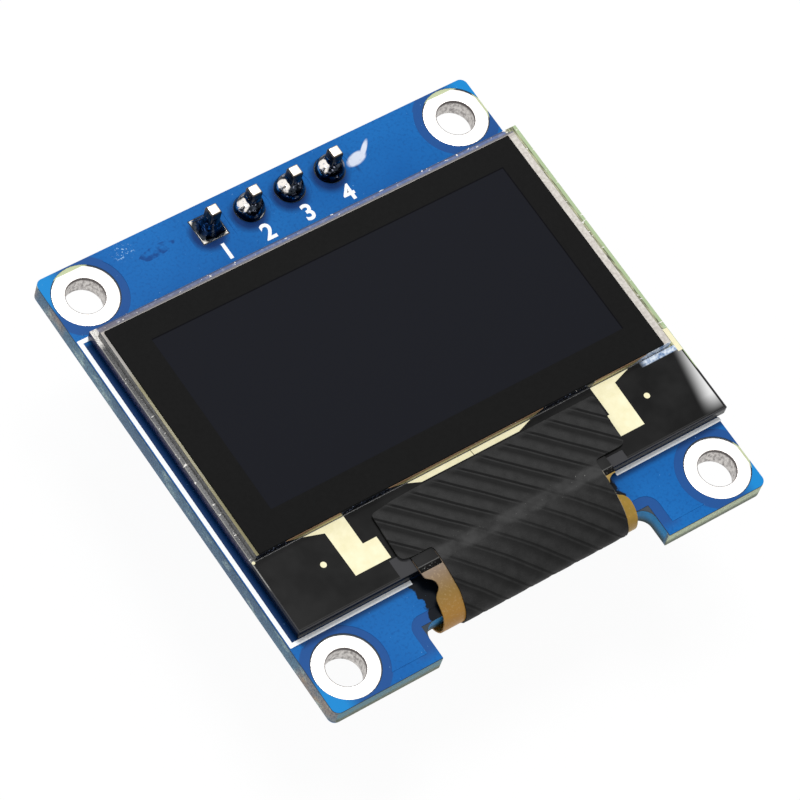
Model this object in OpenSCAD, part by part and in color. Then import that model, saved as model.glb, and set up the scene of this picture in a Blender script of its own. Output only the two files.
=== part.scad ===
// Small monochrome OLED display module on a blue circuit board with a four-pin header.
// The origin is the centre of the four mounting holes, on the front face of the solder mask.
// +Z points out of the display, +Y runs from the folded flex to the pin header.

/* [Circuit board] */
// Width of the board, along the pin row
board_w = 27.05; // [26.95:0.05:27.5]
// Length of the board, from the notched edge to the pin row
board_l = 27.9; // [27.9:0.1:29]
// Thickness of the glass-fibre laminate
laminate_t = 1.1; // [0.8:0.1:1.6]
// Thickness of the solder mask where copper lies under it
mask_t = 0.05; // [0.04:0.01:0.08]
// Radius of the outer corners of the board
board_corner_r = 0.45; // [0.45:0.05:0.6]
// Width of the notch that the flex folds through
notch_w = 14.2; // [13.6:0.1:14.6]
// Depth of that notch
notch_d = 1.95; // [1.6:0.05:2]
// Radius of the cutter that routed the notch
notch_r = 0.8; // [0.4:0.1:1]
// Distance from the board's edge to the copper pour
pour_inset = 0.6; // [0.4:0.05:0.8]

/* [Mounting holes] */
// Spacing of the holes across the board
hole_dx = 23.3; // [23.2:0.1:23.4]
// Spacing of the holes along the board
hole_dy = 24; // [23.9:0.1:24]
// Radius of each hole, for an M2 screw
hole_r = 1.05; // [1:0.05:1.2]
// Radius of the tinned pad around each hole
hole_pad_r = 1.77; // [1.6:0.01:1.77]
// Radius kept free of copper around each hole
hole_clear_r = 2.3; // [2.1:0.05:2.5]

/* [Pin header] */
// Distance between pins
pitch = 2.54; // [2.5:0.01:2.58]
// Distance of the pin row from the centre of the holes
pin_row_y = 12.47; // [12.3:0.01:12.5]
// Width of each square pin
pin_w = 0.64; // [0.5:0.02:0.64]
// Height of the pin tips above the front of the board
pin_top = 1.8; // [1.5:0.1:2.2]
// Whole length of a pin
pin_l = 11.3; // [9:0.1:12]
// Height of the plastic housing behind the board
housing_h = 2.5; // [2:0.1:3]
// Height of the round solder domes
dome_h = 1.2; // [0.8:0.05:1.3]

/* [Display] */
// Width of the rear glass
rear_w = 26.8; // [26.7:0.05:26.9]
// Length of the rear glass, with the ledge that carries the electrodes
rear_l = 19.39; // [19.26:0.01:19.4]
// Thickness of the rear glass
rear_t = 0.65; // [0.5:0.05:0.7]
// Width of the front glass
front_w = 25.96; // [25.9:0.01:26]
// Length of the front glass
front_l = 14.56; // [14.5:0.01:14.6]
// Thickness of the front glass
front_t = 0.52; // [0.4:0.02:0.6]
// Width of the polarizer film
polarizer_w = 25.3; // [25:0.05:25.5]
// Length of the polarizer film
polarizer_l = 14.35; // [14.2:0.05:14.4]
// Thickness of the polarizer film
polarizer_t = 0.17; // [0.1:0.01:0.2]
// Width of the lit area
lit_w = 21.94; // [21.7:0.01:22]
// Length of the lit area
lit_l = 10.95; // [10.8:0.01:11]

/* [Flex and cover tape] */
// Thickness of the amber flex
flex_t = 0.08; // [0.06:0.01:0.1]
// Width of the flex where it folds
flex_w = 12.15; // [12:0.05:12.3]
// Thickness of the cover tape over its ribs
tape_t = 0.1; // [0.08:0.01:0.12]
// Width of the tongue of tape that covers the fold
tongue_w = 10.15; // [10:0.05:10.3]
// Outer radius of the tight part of the fold
fold_r = 1.15; // [1.12:0.01:1.2]
// Distance between the ribs of the tape, along the display
rib_pitch = 1.45; // [1.3:0.05:1.6]
// Width of the groove between two ribs
groove_w = 0.2; // [0.1:0.02:0.3]
// Depth of the groove between two ribs
groove_d = 0.04; // [0.02:0.01:0.05]
// Width of the solder tail behind the board
tail_w = 19.5; // [19:0.1:20]
// Contacts on the solder tail
contacts = 30; // [20:1:30]
// Distance between two contacts
contact_pitch = 0.62; // [0.6:0.01:0.64]

/* [Parts behind the board] */
// Length of a chip capacitor or resistor
chip_l = 1.6; // [1.4:0.1:1.8]
// Width of a chip capacitor or resistor
chip_w = 0.8; // [0.7:0.05:0.9]
// Height of a chip capacitor
capacitor_h = 0.8; // [0.6:0.05:0.9]
// Height of a chip resistor
resistor_h = 0.45; // [0.35:0.05:0.5]
// Length of the regulator's body
regulator_l = 2.9; // [2.8:0.1:3.1]
// Width of the regulator's body
regulator_w = 1.4; // [1.2:0.1:1.6]
// Height of the regulator's body
regulator_h = 1; // [0.8:0.1:1.2]

/* [Hidden] */
$fn = 48;

// Levels of the board, measured from the front of the solder mask
copper_t = 0.02;
laminate_top = -mask_t;
laminate_bottom = laminate_top - laminate_t;
back_z = laminate_bottom - mask_t;
mask_inset = 0.02;
mask_shift = [0.04, 0.04];
mask_gap = 0.06;
mask_corner_r = 0.4;
board_x = -0.05;
notch_x = 0.05;
pad_t = mask_t - 0.01;
plating_t = 0.05;
pin_hole_r = 0.5;
header_pad_r = 0.8;
header_pad_square = 1.5;
legend_t = 0.015;
legend_w = 0.24;
board_foot = -board_l / 2;
notch_y = board_foot + notch_d;

// Levels and edges of the display; the rear glass stands out a little round the front glass
rear_left = -12.95;
rear_head = 9.82;
front_left = -12.74;
front_head = 9.36;
display_cx = 0.33;
adhesive_t = 0.1;
adhesive_inset = 0.5;
adhesive_short = 0.4;
rear_top = adhesive_t + rear_t;
seal_t = 0.03;
seal_w = 1.1;
seal_inset = 0.1;
matrix_t = 0.02;
front_z = rear_top + seal_t;
front_top = front_z + front_t;
ledge_edge = rear_head - rear_l;
front_edge = front_head - front_l;
lit_centre = [0.286, 2.1];
polarizer_corner = [-12.58, -5.19];
print_t = 0.02;
print_inset = 0.08;
print_z = rear_top + print_t;

// Cover tape on the ledge
flex_z = print_z + flex_t;
tape_z = flex_z + tape_t;
tape_head_y = -5.67;
rib_x = 0.6;
ear_y = -8.79;
tongue_x = [-4.45, -4.45 + tongue_w];
flex_x = [-5.77, -5.77 + flex_w];
bond_y = -8.85;
chip_size = [6.76, 0.86, 0.12];
chip_y = -7;

// Fold: a wide shoulder arc, tangent to a tight arc that turns the tape back under the board
fold_y = -11.43;
fold_z = -0.78;
shoulder_y = -9.5;
shoulder_run = shoulder_y - fold_y;
shoulder_drop = tape_z - fold_z - fold_r;
shoulder_angle = 2 * atan(shoulder_drop / shoulder_run);
shoulder_r = fold_r + shoulder_run / sin(shoulder_angle);
fold_stack = tape_t + flex_t;
shoulder_steps = 8;
fold_steps = 24;

// Return under the board: two equal arcs lift the flex from the fold to the solder tail
tail_gap = 0.07;
return_run = 2.8;
return_bottom = fold_z - fold_r;
return_top = back_z - tail_gap - fold_stack;
return_rise = return_top - return_bottom;
return_angle = 2 * atan(return_rise / return_run);
return_span = return_run / sin(return_angle);
return_r1 = (return_span + fold_stack) / 2;
return_r2 = (return_span - fold_stack) / 2;
tail_y = fold_y + return_run;
tail_end = -5.2;
tail_z = back_z - tail_gap;
tape_end = -8;
relief_r = 0.6;
relief_at = [[-5.91, -10.66], [6.3, -10.6]];

// Layout of the parts behind the board, each [x, y, turn]
regulator_at = [-7.2, 5.6];
capacitor_at = [[-9.9, 8.6, 0], [-4.2, 8.6, 0], [8.6, -1.6, 90], [6.4, -1.6, 90], [-8.6, -1.6, 90],
                [-6.4, -1.6, 90]];
resistor_at = [[1.2, 8.4, 90], [3.1, 8.4, 90], [5.6, 8.4, 0], [5.6, 6.4, 0], [1.6, -1.6, 90],
               [-0.4, -1.6, 90], [-2.4, -1.6, 90]];
end_w = 0.3;
fillet_w = 0.25;
chip_lift = 0.03;
land_t = 0.02;

// ---- shared shapes ----

function hole_at(i) = [(i % 2 == 1 ? -1 : 1) * hole_dx / 2, (i <= 2 ? 1 : -1) * hole_dy / 2];
function pin_x(i) = (i - 2.5) * pitch;

module box(x, y, z) {
    translate([x[0], y[0], z[0]]) cube([x[1] - x[0], y[1] - y[0], z[1] - z[0]]);
}

module layer(z, t) {
    translate([0, 0, z]) linear_extrude(t) children();
}

module round_rect(x, y, r) {
    translate([x[0] + r, y[0]]) square([x[1] - x[0] - 2 * r, y[1] - y[0]]);
    translate([x[0], y[0] + r]) square([x[1] - x[0], y[1] - y[0] - 2 * r]);
    for (u = [x[0] + r, x[1] - r], v = [y[0] + r, y[1] - r]) translate([u, v]) circle(r);
}

// Outline of the board, shrunk by inset all round, with its notch rounded by corner_r
module board_shape(inset, outer_r, corner_r) {
    w = board_w / 2 - inset;
    l = board_l / 2 - inset;
    n = notch_w / 2 + inset;
    difference() {
        round_rect([board_x - w, board_x + w], [-l, l], outer_r);
        round_rect([notch_x - n, notch_x + n], [board_foot - 2, notch_y + inset], corner_r);
    }
}

module header_openings(grow) {
    for (i = [2:4]) translate([pin_x(i), pin_row_y]) circle(header_pad_r + grow);
    translate([pin_x(1), pin_row_y]) square(header_pad_square + 2 * grow, center = true);
}

module mask_shape() {
    difference() {
        board_shape(mask_inset, mask_corner_r, mask_inset);
        for (i = [1:4]) translate(hole_at(i) + mask_shift) circle(hole_pad_r + mask_gap);
        header_openings(mask_gap);
    }
}

module pour_shape() {
    difference() {
        board_shape(pour_inset, board_corner_r, notch_r);
        for (i = [1:4]) translate(hole_at(i)) circle(hole_clear_r);
        header_openings(0.35);
    }
}

// ---- circuit board ----

module board_laminate() color("steelblue") layer(laminate_bottom, laminate_t) difference() {
    board_shape(0, board_corner_r, notch_r);
    for (i = [1:4]) translate(hole_at(i)) circle(hole_r + plating_t);
    for (i = [1:4]) translate([pin_x(i), pin_row_y]) circle(pin_hole_r + plating_t);
}

module front_solder_mask() color("royalblue") {
    layer(laminate_top, mask_t - copper_t) mask_shape();
    layer(-copper_t, copper_t) pour_shape();
}

module back_solder_mask() color("royalblue") mirror_to_back() {
    layer(laminate_top, mask_t - copper_t) mask_shape();
    layer(-copper_t, copper_t) pour_shape();
}

// Puts a shape made for the front face on the back face, without turning it over in plan
module mirror_to_back() {
    translate([0, 0, back_z]) mirror([0, 0, 1]) children();
}

// Printed frame that shows to the left of the display and below it
module front_legend() color("ghostwhite") layer(0, legend_t) {
    x = rear_left - 0.57;
    y = ledge_edge - 0.25;
    top = rear_head + 0.1;
    gap = 0.35;
    stub = 1;
    translate([x, y]) square([legend_w, top - y]);
    translate([x, top - legend_w]) square([stub, legend_w]);
    translate([x, y]) square([flex_x[0] - gap - x, legend_w]);
    translate([flex_x[1] + gap, y]) square([rear_left + rear_w - flex_x[1] - 2 * gap, legend_w]);
}

module outline(x, y, w) {
    difference() {
        translate([x[0], y[0]]) square([x[1] - x[0], y[1] - y[0]]);
        translate([x[0] + w, y[0] + w]) square([x[1] - x[0] - 2 * w, y[1] - y[0] - 2 * w]);
    }
}

// Printed outlines around the header and the regulator
module back_legend() color("ghostwhite") mirror_to_back() layer(0, legend_t) {
    w = 0.14;
    reach = w + 0.02;
    room = 2;
    outline([-1, 1] * (2 * pitch + reach), pin_row_y * [1, 1] + [-1, 1] * (pitch / 2 + reach), w);
    outline(regulator_at[0] * [1, 1] + [-1, 1] * room, regulator_at[1] * [1, 1] + [-1, 1] * room, w);
}

// Copper of the pads stops short of the board's top and right edges
module plated_hole(i) color("gainsboro") difference() {
    top = board_l / 2 - 0.35;
    side = board_x + board_w / 2 - 0.14;
    union() {
        translate(hole_at(i)) translate([0, 0, laminate_bottom])
            cylinder(h = laminate_t, r = hole_r + plating_t);
        for (z = [laminate_top, laminate_bottom - pad_t]) layer(z, pad_t) intersection() {
            translate(hole_at(i)) circle(hole_pad_r);
            translate([-board_w, -board_l]) square([board_w + side, board_l + top]);
        }
    }
    translate(hole_at(i)) translate([0, 0, back_z - 1]) cylinder(h = 4, r = hole_r);
}

module header_pad(i) color("gainsboro") translate([pin_x(i), pin_row_y]) difference() {
    union() {
        translate([0, 0, laminate_bottom]) cylinder(h = laminate_t, r = pin_hole_r + plating_t);
        for (z = [laminate_top, laminate_bottom - pad_t]) layer(z, pad_t)
            if (i == 1) square(header_pad_square, center = true);
            else circle(header_pad_r);
    }
    translate([0, 0, back_z - 1]) cylinder(h = 4, r = pin_hole_r);
}

// ---- pin header ----

module header_housing() color("dimgray") layer(back_z - housing_h, housing_h) difference() {
    cut = 0.45;
    for (i = [1:4]) translate([pin_x(i), pin_row_y]) intersection() {
        square(pitch, center = true);
        rotate(45) square(pitch * sqrt(2) - cut * sqrt(2), center = true);
    }
    for (i = [1:4]) translate([pin_x(i), pin_row_y]) square(pin_w, center = true);
}

module pin_outline() {
    point = 0.35;
    tip = pin_w / 4;
    cut = 0.08;
    w = pin_w / 2;
    polygon([[-w, point], [-tip, 0], [tip, 0], [w, point],
             [w, pin_l - cut], [w - cut, pin_l], [cut - w, pin_l], [-w, pin_l - cut]]);
}

// Square wire with a point at its long end and a cropped top
module header_pin(i) color("silver") translate([pin_x(i), pin_row_y, pin_top - pin_l]) intersection() {
    translate([0, pin_w / 2, 0]) rotate([90, 0, 0]) linear_extrude(pin_w) pin_outline();
    rotate(90) translate([0, pin_w / 2, 0]) rotate([90, 0, 0]) linear_extrude(pin_w) pin_outline();
}

// Half section of a dome of solder that wets the pin in a small concave collar
module dome_half() {
    foot = header_pad_r - 0.02;
    ball = (foot * foot + dome_h * dome_h) / (2 * dome_h);
    intersection() {
        translate([0, dome_h - ball]) circle(ball);
        square([foot, dome_h]);
    }
    square([pin_w * 0.6, dome_h + 0.1]);
}

// Half section of a flared joint, drawn up to the pin by one concave curve
module flare_half() {
    foot = header_pad_square / sqrt(2);
    neck = pin_w * 0.62;
    toe = 0.06;
    difference() {
        square([foot, dome_h]);
        translate([foot, dome_h]) scale([foot - neck, dome_h - toe]) circle(1);
    }
}

module solder_joint(i) color("lightsteelblue") translate([pin_x(i), pin_row_y]) difference() {
    top = laminate_top + pad_t;
    union() {
        translate([0, 0, laminate_bottom - pad_t]) cylinder(h = laminate_t + 2 * pad_t, r = pin_hole_r);
        if (i == 1) intersection() {
            translate([0, 0, top]) rotate_extrude() flare_half();
            translate([0, 0, top]) linear_extrude(2) square(header_pad_square, center = true);
        }
        else translate([0, 0, top]) rotate_extrude() dome_half();
    }
    translate([0, 0, laminate_bottom - 1]) linear_extrude(5) square(pin_w, center = true);
}

// ---- display ----

module display_adhesive() color("dimgray") box(
    [rear_left + adhesive_inset, rear_left + rear_w - adhesive_inset - adhesive_short],
    [ledge_edge + adhesive_inset, rear_head - adhesive_inset], [0, adhesive_t]);

module rear_glass() color("slategray") box(
    [rear_left, rear_left + rear_w], [ledge_edge, rear_head], [adhesive_t, rear_top]);

module edge_seal() color("darkgray") layer(rear_top, seal_t) outline(
    [front_left + seal_inset, front_left + front_w - seal_inset],
    [front_edge + seal_inset, front_head - seal_inset], seal_w);

module pixel_matrix() color("midnightblue") layer(rear_top, matrix_t)
    translate(lit_centre) square([lit_w, lit_l], center = true);

module front_glass() color("gray") box(
    [front_left, front_left + front_w], [front_edge, front_head], [front_z, front_top]);

module polarizer() color("black") translate([polarizer_corner[0], polarizer_corner[1], front_top])
    cube([polarizer_w, polarizer_l, polarizer_t]);

// One cream electrode: a block with a step towards the middle and a sliver along the front glass.
// u is the distance from the middle line of the display.
module electrode_half() {
    head = front_edge - 0.02;
    step_y = -6.97;
    foot = -8.3;
    polygon([[10.2, head], [7.73, head], [7.73, step_y], [6.9, step_y], [6.9, foot],
             [9.05, foot], [9.1, head - 0.35]]);
}

module both_halves() {
    translate([display_cx, 0]) {
        children();
        mirror([1, 0]) children();
    }
}

// Also round dots beside the blocks, a tapered strip in the middle, a short strip at the right edge
// of the glass, and a small mark at the left corner of the front glass
module electrode_shapes() {
    dot_r = 0.17;
    dot_at = [10.14, -7];
    head = front_edge - 0.02;
    foot = -5.52;
    strip = [0.28, 1.45];
    strip_at = [rear_left + rear_w - strip[0] - 0.05, -5.65];
    mark_r = 0.09;
    both_halves() {
        electrode_half();
        translate(dot_at) circle(dot_r);
    }
    polygon([[-3.5, head], [-2.78, foot], [3.33, foot], [4.25, head]]);
    translate(strip_at) square(strip);
    translate([-12.84, -5.23]) circle(mark_r);
}

module bare_windows() {
    left = [1.03, 1.17];
    right = [1.07, 0.62];
    translate([flex_x[0] - left[0], ledge_edge]) square(left);
    translate([flex_x[1], ledge_edge]) square(right);
}

// Black coating on the ledge, open over the electrodes and over two bare corners of glass
module ledge_print() color("black") layer(rear_top, print_t) difference() {
    translate([rear_left + print_inset, ledge_edge + print_inset])
        square([rear_w - 2 * print_inset, front_edge - ledge_edge - print_inset - 0.02]);
    electrode_shapes();
    bare_windows();
    translate([display_cx, chip_y]) square([chip_size[0] + 0.2, chip_size[1] + 0.2], center = true);
}

module ledge_electrodes() color("palegoldenrod") layer(rear_top, print_t * 0.75) electrode_shapes();

module driver_chip() color("dimgray") translate([display_cx, chip_y, rear_top + chip_size[2] / 2])
    cube(chip_size, center = true);

// ---- flex and cover tape ----

// Points of an arc, whose angles are measured from straight up and turn towards -Y
function arc_points(centre, r, from, to, steps) = [
    for (k = [1:steps]) let (a = from + (to - from) * k / steps)
        [centre[0] - r * sin(a), centre[1] + r * cos(a)]
];

// Side view of the folded sheet, at a depth below the outer face of the tape:
// along the ledge, over the shoulder, round the fold and up to the solder tail
function fold_path(depth, from_y, to_y) = concat(
    [[from_y, tape_z - depth], [shoulder_y, tape_z - depth]],
    arc_points([shoulder_y, tape_z - shoulder_r], shoulder_r - depth, 0, shoulder_angle, shoulder_steps),
    arc_points([fold_y, fold_z], fold_r - depth, shoulder_angle, 180, fold_steps),
    arc_points([fold_y, return_bottom + return_r1], return_r1 - depth, 180, 180 + return_angle, 4),
    arc_points([tail_y, return_top - return_r2], return_r2 + depth, return_angle, 0, 4),
    [[to_y, return_top + depth]]
);

function reversed(points) = [for (k = [len(points) - 1:-1:0]) points[k]];

// Sheet between two depths, from one place on the ledge to another behind the board
module folded_sheet(depth, x, from_y, to_y) {
    translate([x[0], 0, 0]) rotate([90, 0, 90]) linear_extrude(x[1] - x[0])
        polygon(concat(fold_path(depth[0], from_y, to_y), reversed(fold_path(depth[1], from_y, to_y))));
}

module relief_notch() {
    for (at = relief_at) translate([at[0], at[1], -0.6]) cylinder(h = 2, r = relief_r);
}

// Polyimide flex: bond on the ledge, necks in front of the fold, and a wide tail behind the board
module flex_circuit() color("goldenrod") difference() {
    union() {
        folded_sheet([tape_t, fold_stack], flex_x, bond_y, tail_end);
        layer(tail_z - flex_t, flex_t) tail_shape();
    }
    relief_notch();
}

module tail_shape() {
    corner = 0.8;
    middle = (flex_x[0] + flex_x[1]) / 2;
    round_rect([middle - tail_w / 2, middle + tail_w / 2], [tail_y + 0.5, tail_end], corner / 2);
}

// Bead of resin over the end of the bond and the start of the shoulder, at each side of the tape
module bond_resin() color("black") {
    crest = 0.06;
    gap = 0.02;
    toe = arc_points([shoulder_y, tape_z - shoulder_r], shoulder_r - tape_t, 0,
                     shoulder_angle / shoulder_steps, 1);
    for (x = [[flex_x[0], tongue_x[0] - gap], [tongue_x[1] + gap, flex_x[1]]])
        translate([x[0], 0, 0]) rotate([90, 0, 90]) linear_extrude(x[1] - x[0])
            polygon(concat([[bond_y, flex_z], [bond_y, flex_z + crest / 2], [shoulder_y, flex_z + crest]],
                           toe, [[shoulder_y, flex_z]]));
}

// Outline of the hand-laid tape on the ledge: two ears beside the tongue, its head a little askew
module tape_head() {
    chamfer = 0.3;
    polygon([[-6.2, tape_head_y - 0.2], [-4.8, tape_head_y - 0.05], [-3, tape_head_y], [7.9, tape_head_y],
             [7.77, ear_y + chamfer], [7.5, ear_y], [-6, ear_y], [-6.32, ear_y + chamfer]]);
}

// Grooves at 45 degrees to the fold, side by side, for a stretch of tape that lies in the XY plane.
// travel is the distance along the tape to the middle of the stretch, and run is its length.
module grooves(travel, run, height, x) {
    first = ceil((x[0] - run / 2 - travel - rib_x) / rib_pitch);
    last = floor((x[1] + run / 2 - travel - rib_x) / rib_pitch);
    for (k = [first:last]) translate([rib_x + k * rib_pitch + travel, 0, 0]) rotate(-45)
        cube([run * sqrt(2), groove_w, height], center = true);
}

// The same grooves on a wedge of an arc
module grooves_on_arc(centre, r, angles, travel) {
    run = r * (angles[1] - angles[0]) * PI / 180;
    translate([0, centre[0], centre[1]]) rotate([(angles[0] + angles[1]) / 2, 0, 0])
        translate([0, 0, r]) grooves(travel + run / 2, run * 1.1, 0.6, tongue_x);
}

module rib_grooves() {
    wedges = 5;
    flat_run = tape_head_y - shoulder_y;
    shoulder_way = shoulder_r * shoulder_angle * PI / 180;
    step = (180 - shoulder_angle) / wedges;
    translate([0, tape_head_y - flat_run / 2, tape_z])
        grooves(flat_run / 2, flat_run, 2 * groove_d, [-6.4, 8]);
    intersection() {
        folded_sheet([-groove_d, groove_d], tongue_x, shoulder_y + 0.5, tape_end);
        union() {
            for (half = [0, 1]) grooves_on_arc([shoulder_y, tape_z - shoulder_r], shoulder_r,
                shoulder_angle * [half, half + 1] / 2, flat_run + half * shoulder_way / 2);
            for (k = [0:wedges - 1]) grooves_on_arc([fold_y, fold_z], fold_r,
                [shoulder_angle + step * k, shoulder_angle + step * (k + 1)],
                flat_run + shoulder_way + k * step * fold_r * PI / 180);
        }
    }
}

// Ribbed tape over the driver chip and the bond, round the fold and onto the back
module cover_tape() color("dimgray") difference() {
    union() {
        layer(flex_z, tape_t) tape_head();
        folded_sheet([0, tape_t], tongue_x, ear_y + 1, tape_end);
    }
    rib_grooves();
    translate([display_cx, chip_y, rear_top])
        cube([chip_size[0] + 0.2, chip_size[1] + 0.2, 2 * chip_size[2] + 0.02], center = true);
}

// Solder on each contact of the tail, run over its end onto the board
module flex_solder() color("silver") {
    w = 0.34;
    z = tail_z - flex_t;
    middle = (flex_x[0] + flex_x[1]) / 2;
    for (k = [0:contacts - 1])
        translate([middle + (k - (contacts - 1) / 2) * contact_pitch - w / 2, 0, 0])
            rotate([90, 0, 90]) linear_extrude(w)
                polygon([[tail_end - 1.4, z], [tail_end - 1.2, z - 0.06], [tail_end, z - 0.06],
                         [tail_end + 0.35, back_z], [tail_end, back_z], [tail_end, z]]);
}

// ---- parts behind the board ----

module behind(at) {
    translate([at[0], at[1], back_z]) mirror([0, 0, 1]) rotate(len(at) > 2 ? at[2] : 0) children();
}

module regulator_body() color("dimgray") behind(regulator_at) {
    lift = 0.1;
    half = regulator_l / 2;
    draft = 0.12;
    translate([0, regulator_w / 2, 0]) rotate([90, 0, 0]) linear_extrude(regulator_w)
        polygon([[-half, lift + regulator_h / 2], [-half + draft, lift], [half - draft, lift],
                 [half, lift + regulator_h / 2], [half - draft, lift + regulator_h],
                 [-half + draft, lift + regulator_h]]);
}

// Gull-wing lead: foot on the board, riser, and shoulder against the body
module lead() {
    w = 0.4;
    t = 0.13;
    reach = 0.55;
    shoulder = 0.1 + regulator_h / 2;
    translate([-w / 2, 0, 0]) rotate([90, 0, 90]) linear_extrude(w)
        polygon([[0, shoulder - t], [reach / 3, shoulder - t], [reach / 3 + 0.1, 0], [reach + 0.15, 0],
                 [reach + 0.15, t], [reach / 3 + 0.2, t], [reach / 3 + 0.1, shoulder], [0, shoulder]]);
}

module regulator_leads() color("silver") behind(regulator_at) {
    for (x = [-0.95, 0.95]) translate([x, regulator_w / 2, 0]) lead();
    rotate(180) translate([0, regulator_w / 2, 0]) lead();
}

module chip_body(at, h) behind(at) translate([-chip_l / 2 + end_w, -chip_w / 2, chip_lift])
    cube([chip_l - 2 * end_w, chip_w, h]);

module capacitor(i) color("burlywood") chip_body(capacitor_at[i - 1], capacitor_h);

module resistor(i) color("black") chip_body(resistor_at[i - 1], resistor_h);

// Tinned caps of one chip, with the solder that runs down from each to the board
module chip_ends(at, h) behind(at) for (side = [0, 1]) mirror([side, 0, 0])
    translate([chip_l / 2 - end_w, chip_w / 2, 0]) rotate([90, 0, 0]) linear_extrude(chip_w)
        polygon([[0, 0], [end_w + fillet_w, 0], [end_w + fillet_w, land_t], [end_w, h * 0.7],
                 [end_w, chip_lift + h], [0, chip_lift + h]]);

module capacitor_ends() color("silver") for (at = capacitor_at) chip_ends(at, capacitor_h);

module resistor_ends() color("silver") for (at = resistor_at) chip_ends(at, resistor_h);

board_laminate();
front_solder_mask();
back_solder_mask();
front_legend();
back_legend();
plated_hole(1);  // plated_hole_1
plated_hole(2);  // plated_hole_2
plated_hole(3);  // plated_hole_3
plated_hole(4);  // plated_hole_4
header_pad(1);  // header_pad_1
header_pad(2);  // header_pad_2
header_pad(3);  // header_pad_3
header_pad(4);  // header_pad_4
header_housing();
header_pin(1);  // header_pin_1
header_pin(2);  // header_pin_2
header_pin(3);  // header_pin_3
header_pin(4);  // header_pin_4
solder_joint(1);  // solder_joint_1
solder_joint(2);  // solder_joint_2
solder_joint(3);  // solder_joint_3
solder_joint(4);  // solder_joint_4
display_adhesive();
rear_glass();
edge_seal();
pixel_matrix();
front_glass();
polarizer();
ledge_print();
ledge_electrodes();
driver_chip();
flex_circuit();
bond_resin();
cover_tape();
flex_solder();
regulator_body();
regulator_leads();
capacitor(1);  // capacitor_1
capacitor(2);  // capacitor_2
capacitor(3);  // capacitor_3
capacitor(4);  // capacitor_4
capacitor(5);  // capacitor_5
capacitor(6);  // capacitor_6
resistor(1);  // resistor_1
resistor(2);  // resistor_2
resistor(3);  // resistor_3
resistor(4);  // resistor_4
resistor(5);  // resistor_5
resistor(6);  // resistor_6
resistor(7);  // resistor_7
capacitor_ends();
resistor_ends();
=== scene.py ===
# %% [markdown]
# # A small OLED module, dressed in Blender
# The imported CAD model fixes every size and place. This script gives each piece the surface of the real
# one, and remakes the pieces whose edges, ribs or curves need more than the plain solid shows.

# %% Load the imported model
import math

import bmesh
import bpy
from mathutils import Matrix, Vector, noise


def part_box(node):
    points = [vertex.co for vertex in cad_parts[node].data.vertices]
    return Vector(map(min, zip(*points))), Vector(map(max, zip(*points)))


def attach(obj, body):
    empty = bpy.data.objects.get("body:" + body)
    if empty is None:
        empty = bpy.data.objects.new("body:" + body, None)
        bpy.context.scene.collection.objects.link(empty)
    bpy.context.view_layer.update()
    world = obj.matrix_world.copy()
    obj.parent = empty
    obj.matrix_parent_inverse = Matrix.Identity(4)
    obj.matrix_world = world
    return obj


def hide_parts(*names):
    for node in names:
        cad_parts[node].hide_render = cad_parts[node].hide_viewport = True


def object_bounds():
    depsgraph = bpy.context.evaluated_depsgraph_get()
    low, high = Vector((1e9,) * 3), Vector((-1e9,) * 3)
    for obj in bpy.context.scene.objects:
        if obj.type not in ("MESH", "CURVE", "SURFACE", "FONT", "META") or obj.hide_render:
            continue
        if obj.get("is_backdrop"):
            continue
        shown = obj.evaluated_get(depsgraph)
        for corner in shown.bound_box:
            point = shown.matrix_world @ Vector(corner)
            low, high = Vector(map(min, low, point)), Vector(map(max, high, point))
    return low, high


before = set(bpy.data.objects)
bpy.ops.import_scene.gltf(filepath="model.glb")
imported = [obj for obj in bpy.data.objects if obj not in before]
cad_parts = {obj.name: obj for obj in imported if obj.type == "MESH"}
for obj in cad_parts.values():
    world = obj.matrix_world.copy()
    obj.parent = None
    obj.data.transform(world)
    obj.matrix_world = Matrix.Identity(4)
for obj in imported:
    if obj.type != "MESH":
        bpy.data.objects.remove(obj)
cad_low, cad_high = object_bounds()
MM = 0.001
print("CAD box in mm:", [round(v / MM, 2) for v in (cad_high - cad_low)])

# %% [markdown]
# ## Helpers
# Colours are written as sRGB hex, the way a designer picks them, and Blender wants linear light, so one
# function converts them all. A second function adds one shader node and joins it up.

# %% Colour and node helpers
def linear(hex_colour):
    parts = [int(hex_colour[i:i + 2], 16) / 255 for i in (1, 3, 5)]
    return [c / 12.92 if c <= 0.04045 else ((c + 0.055) / 1.055) ** 2.4 for c in parts] + [1.0]


def add(tree, kind, links=None, **settings):
    made = tree.nodes.new("ShaderNode" + kind)
    for name, value in settings.items():
        setattr(made, name, value)
    for socket, value in (links or {}).items():
        if isinstance(value, bpy.types.NodeSocket):
            tree.links.new(value, made.inputs[socket])
        else:
            made.inputs[socket].default_value = value
    return made


def material(name, colour, roughness, metallic=0.0, **sockets):
    made = bpy.data.materials.new(name)
    made.use_nodes = True
    shader = made.node_tree.nodes["Principled BSDF"]
    shader.inputs["Base Color"].default_value = linear(colour)
    shader.inputs["Roughness"].default_value = roughness
    shader.inputs["Metallic"].default_value = metallic
    for socket, value in sockets.items():
        shader.inputs[socket.replace("_", " ")].default_value = value
    print("finish:", name)
    return made, made.node_tree, shader


# %% [markdown]
# Most patterns on these materials are some noise, read in the object's own coordinates so that it stays
# still when the camera moves. Its scale comes from the real size of a fleck or a ripple in millimetres.

# %% Pattern helpers
def place(tree):
    return add(tree, "TexCoord").outputs["Object"]


def fleck(tree, size_mm, detail=3.0, stretch=(1, 1, 1)):
    mapped = add(tree, "Mapping", {"Vector": place(tree), "Scale": stretch})
    made = add(tree, "TexNoise", {"Vector": mapped.outputs[0], "Scale": 1 / (size_mm * MM),
                                  "Detail": detail, "Roughness": 0.5})
    return made.outputs["Fac"]


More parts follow.
